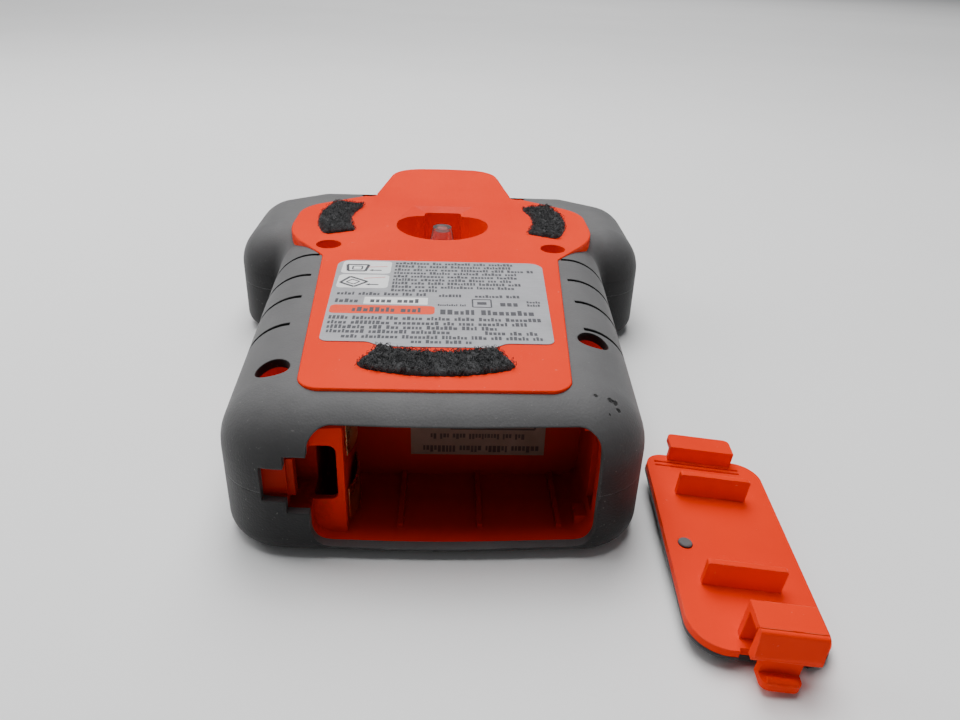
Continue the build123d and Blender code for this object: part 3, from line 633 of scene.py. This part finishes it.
# The loops of fibre in one patch, in millimetres and degrees
LOOPS = 1150
LOOP_STEPS = 5
LOOP_INSET, LOOP_END_ANGLE = 0.2, 0.6
LOOP_FOOT = 0.45  # height of the feet in the pad
LOOP_LEAN = 0.7
LOOP_REACH = (0.35, 0.9)
LOOP_RISE = (0.45, 1.15)
LOOP_CRINKLE = 0.09
FIBRE_RADIUS = (0.05, 0.085)
FIBRE_SIDES = 3


def sector_point(centre, direction, radius, angle, height):
    """A point over a patch, from its radius and its angle off the patch's middle, in metres."""
    turn = math.radians(direction + angle)
    return Vector((centre[0] + radius * math.cos(turn), centre[1] + radius * math.sin(turn), height)) * MM


def patch_pad(centre, direction, floor, draw):
    """The knitted backing: a low cushion with a ragged, rounded border and a lumpy top."""
    vertices, faces = [], []
    for ring in range(PAD_RINGS + 1):
        across = ring / PAD_RINGS
        for spoke in range(PAD_SPOKES + 1):
            along = spoke / PAD_SPOKES
            edge = min(across, 1 - across) * PATCH_WIDE
            end = min(along, 1 - along) * math.radians(2 * PATCH_HALF_ANGLE) * PATCH_IN
            inset = min(edge, end, PAD_BORDER)
            height = PAD_HEIGHT * math.sqrt(max(0.0, 1 - (1 - inset / PAD_BORDER) ** 2))
            corner = max(0.0, PAD_CORNER - edge) * max(0.0, PAD_CORNER - end) * 0.35
            lump = draw.uniform(-PAD_LUMP, PAD_LUMP) if inset > 0.1 else 0.0
            jag = draw.uniform(-PAD_RAGGED, PAD_RAGGED)
            radius = PATCH_IN + across * PATCH_WIDE + (0.5 - across) * corner * 2 + jag
            angle = (along - 0.5) * 2 * PATCH_HALF_ANGLE * (1 - corner * 0.02) + jag * 0.7
            vertices.append(sector_point(centre, direction, radius, angle, floor + max(height + lump, 0.0)))
    wide = PAD_SPOKES + 1
    for ring in range(PAD_RINGS):
        for spoke in range(PAD_SPOKES):
            here = ring * wide + spoke
            faces.append([here, here + wide, here + wide + 1, here + 1])
    close_pad(vertices, faces, floor, wide)
    return vertices, faces


def close_pad(vertices, faces, floor, wide):
    """A wall down from the pad's border, and a flat underside."""
    rim = (list(range(wide))
           + [ring * wide + PAD_SPOKES for ring in range(1, PAD_RINGS + 1)]
           + [PAD_RINGS * wide + spoke for spoke in range(PAD_SPOKES - 1, -1, -1)]
           + [ring * wide for ring in range(PAD_RINGS - 1, 0, -1)])
    base, count = len(vertices), len(rim)
    for index in rim:
        vertices.append(Vector((vertices[index].x, vertices[index].y, (floor - PAD_SUNK) * MM)))
    for here in range(count):
        after = (here + 1) % count
        faces.append([rim[here], rim[after], base + after, base + here])
    faces.append([base + here for here in range(count)][::-1])


def add_fibre(vertices, faces, points, radius):
    """A fine three-sided fibre through points."""
    first = len(vertices)
    for index, point in enumerate(points):
        before, after = points[max(index - 1, 0)], points[min(index + 1, len(points) - 1)]
        along = (after - before).normalized()
        side = along.orthogonal().normalized()
        other = along.cross(side)
        for corner in range(FIBRE_SIDES):
            turn = math.tau * corner / FIBRE_SIDES
            vertices.append(point + (side * math.cos(turn) + other * math.sin(turn)) * radius)
    for index in range(len(points) - 1):
        for corner in range(FIBRE_SIDES):
            after = (corner + 1) % FIBRE_SIDES
            low, high = first + index * FIBRE_SIDES, first + (index + 1) * FIBRE_SIDES
            faces.append([low + corner, low + after, high + after, high + corner])
    last = first + (len(points) - 1) * FIBRE_SIDES
    faces.append([first + 2, first + 1, first])
    faces.append([last, last + 1, last + 2])


def patch_loops(centre, direction, floor, draw, vertices, faces):
    """Crinkled loops of fibre standing in the pad, some of them straying past its border."""
    for _ in range(LOOPS):
        across, along = draw.random(), draw.random()
        radius = PATCH_IN + LOOP_INSET + across * (PATCH_WIDE - 2 * LOOP_INSET)
        angle = (along - 0.5) * 2 * (PATCH_HALF_ANGLE - LOOP_END_ANGLE)
        foot = sector_point(centre, direction, radius, angle, floor + LOOP_FOOT)
        heading = draw.uniform(0, math.tau)
        lean = Vector((draw.uniform(-LOOP_LEAN, LOOP_LEAN), draw.uniform(-LOOP_LEAN, LOOP_LEAN), 0)) * MM
        reach = draw.uniform(*LOOP_REACH) * MM
        rise = draw.uniform(*LOOP_RISE) * MM
        stride = Vector((math.cos(heading), math.sin(heading), 0)) * reach
        points = []
        for step in range(LOOP_STEPS + 1):
            turn = math.pi * step / LOOP_STEPS
            wander = Vector((draw.uniform(-1, 1), draw.uniform(-1, 1), draw.uniform(-1, 1)))
            arch = (lean + Vector((0, 0, rise))) * math.sin(turn)
            points.append(foot - stride * math.cos(turn) + arch + wander * LOOP_CRINKLE * MM)
        add_fibre(vertices, faces, points, draw.uniform(*FIBRE_RADIUS) * MM)


def loop_patches():
    """A pile of loops in place of each plain patch."""
    material = loop_fabric("loop_pile")
    for number, (node, (centre, direction)) in enumerate(PATCHES.items()):
        draw = random.Random(100 + number)
        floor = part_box(node)[0].z / MM
        vertices, faces = patch_pad(centre, direction, floor, draw)
        patch_loops(centre, direction, floor, draw, vertices, faces)
        name = node.replace("loop_patch", "loop_pile")
        piece = add_piece(name, "housing", material, vertices, faces, smooth=True)
        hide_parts(node)


# ---------------------------------------------------------------- stage

# The camera, in millimetres and degrees
CAMERA_PLACE = (2.48, -210.86, 116.22)
CAMERA_PITCH = 27.89
CAMERA_YAW = 2.70
CAMERA_ROLL = 2.17
LENS = 28.97625
SENSOR_WIDTH = 36.0

# Soft round lights: place, target and size in metres, and power in watts
LIGHTS = {"overhead": ((-0.10, 0.15, 0.95), (0, 0, 0.02), 0.8, 9.5),
          "window": ((-0.75, 0.25, 0.55), (0, 0, 0.02), 0.5, 2.2),
          "behind": ((0.0, 2.0, 2.3), (0, 1.5, 0), 2.2, 62.0),
          "front": ((0.25, -0.8, 0.45), (0, 0, 0.02), 0.5, 0.25)}

# Half the floor's width, and how far it lies below the object, in metres
FLOOR_SIZE = 6
FLOOR_DROP = 0.0002

SURROUND_COLOUR = (0.95, 0.97, 1.0, 1)
SURROUND_STRENGTH = 0.12


def place_camera():
    """The camera stands low in front of the battery end, a little to its right."""
    pitch, yaw, roll = (math.radians(angle) for angle in (CAMERA_PITCH, CAMERA_YAW, CAMERA_ROLL))
    forward = Vector((math.sin(yaw) * math.cos(pitch), math.cos(yaw) * math.cos(pitch), -math.sin(pitch)))
    right = Vector((math.cos(yaw), -math.sin(yaw), 0))
    up = right.cross(forward)
    rolled_right = math.cos(roll) * right + math.sin(roll) * up
    rolled_up = -math.sin(roll) * right + math.cos(roll) * up
    turn = Matrix((rolled_right, rolled_up, -forward)).transposed()
    data = bpy.data.cameras.new("camera")
    data.sensor_width = SENSOR_WIDTH
    data.lens = LENS
    data.clip_start, data.clip_end = 0.005, 20
    camera = bpy.data.objects.new("camera", data)
    camera.matrix_world = Matrix.Translation(Vector(CAMERA_PLACE) * MM) @ turn.to_4x4()
    bpy.context.scene.collection.objects.link(camera)
    bpy.context.scene.camera = camera


def area_light(name, place, target, size, power):
    """A round light that looks at a target."""
    data = bpy.data.lights.new(name, "AREA")
    data.shape = "DISK"
    data.size = size
    data.energy = power
    light = bpy.data.objects.new(name, data)
    light.location = place
    light.rotation_euler = (Vector(target) - Vector(place)).to_track_quat("-Z", "Y").to_euler()
    bpy.context.scene.collection.objects.link(light)


def pale_floor():
    """A pale plain floor, which isn't part of the object."""
    mesh = bpy.data.meshes.new("floor")
    made = bmesh.new()
    bmesh.ops.create_grid(made, x_segments=1, y_segments=1, size=FLOOR_SIZE)
    made.to_mesh(mesh)
    made.free()
    floor = bpy.data.objects.new("floor", mesh)
    floor.location.z = -FLOOR_DROP
    bpy.context.scene.collection.objects.link(floor)
    s = Shader("floor_paper", roughness=0.9)
    s.colour(s.ramp(s.noise(3), (0.3, 0.86), (0.7, 0.9)))
    mesh.materials.append(s.material)


def even_surround():
    """An even pale light from all round."""
    world = bpy.data.worlds.new("surround")
    world.use_nodes = True
    background = world.node_tree.nodes["Background"]
    background.inputs[0].default_value = SURROUND_COLOUR
    background.inputs[1].default_value = SURROUND_STRENGTH
    bpy.context.scene.world = world


dress_plastics()
dress_soft_parts()
dress_clear_parts()
dress_metals()

rear_label_print()
bay_label_print()
loop_patches()

place_camera()
pale_floor()
even_surround()
for light_name, setting in LIGHTS.items():
    area_light(light_name, *setting)
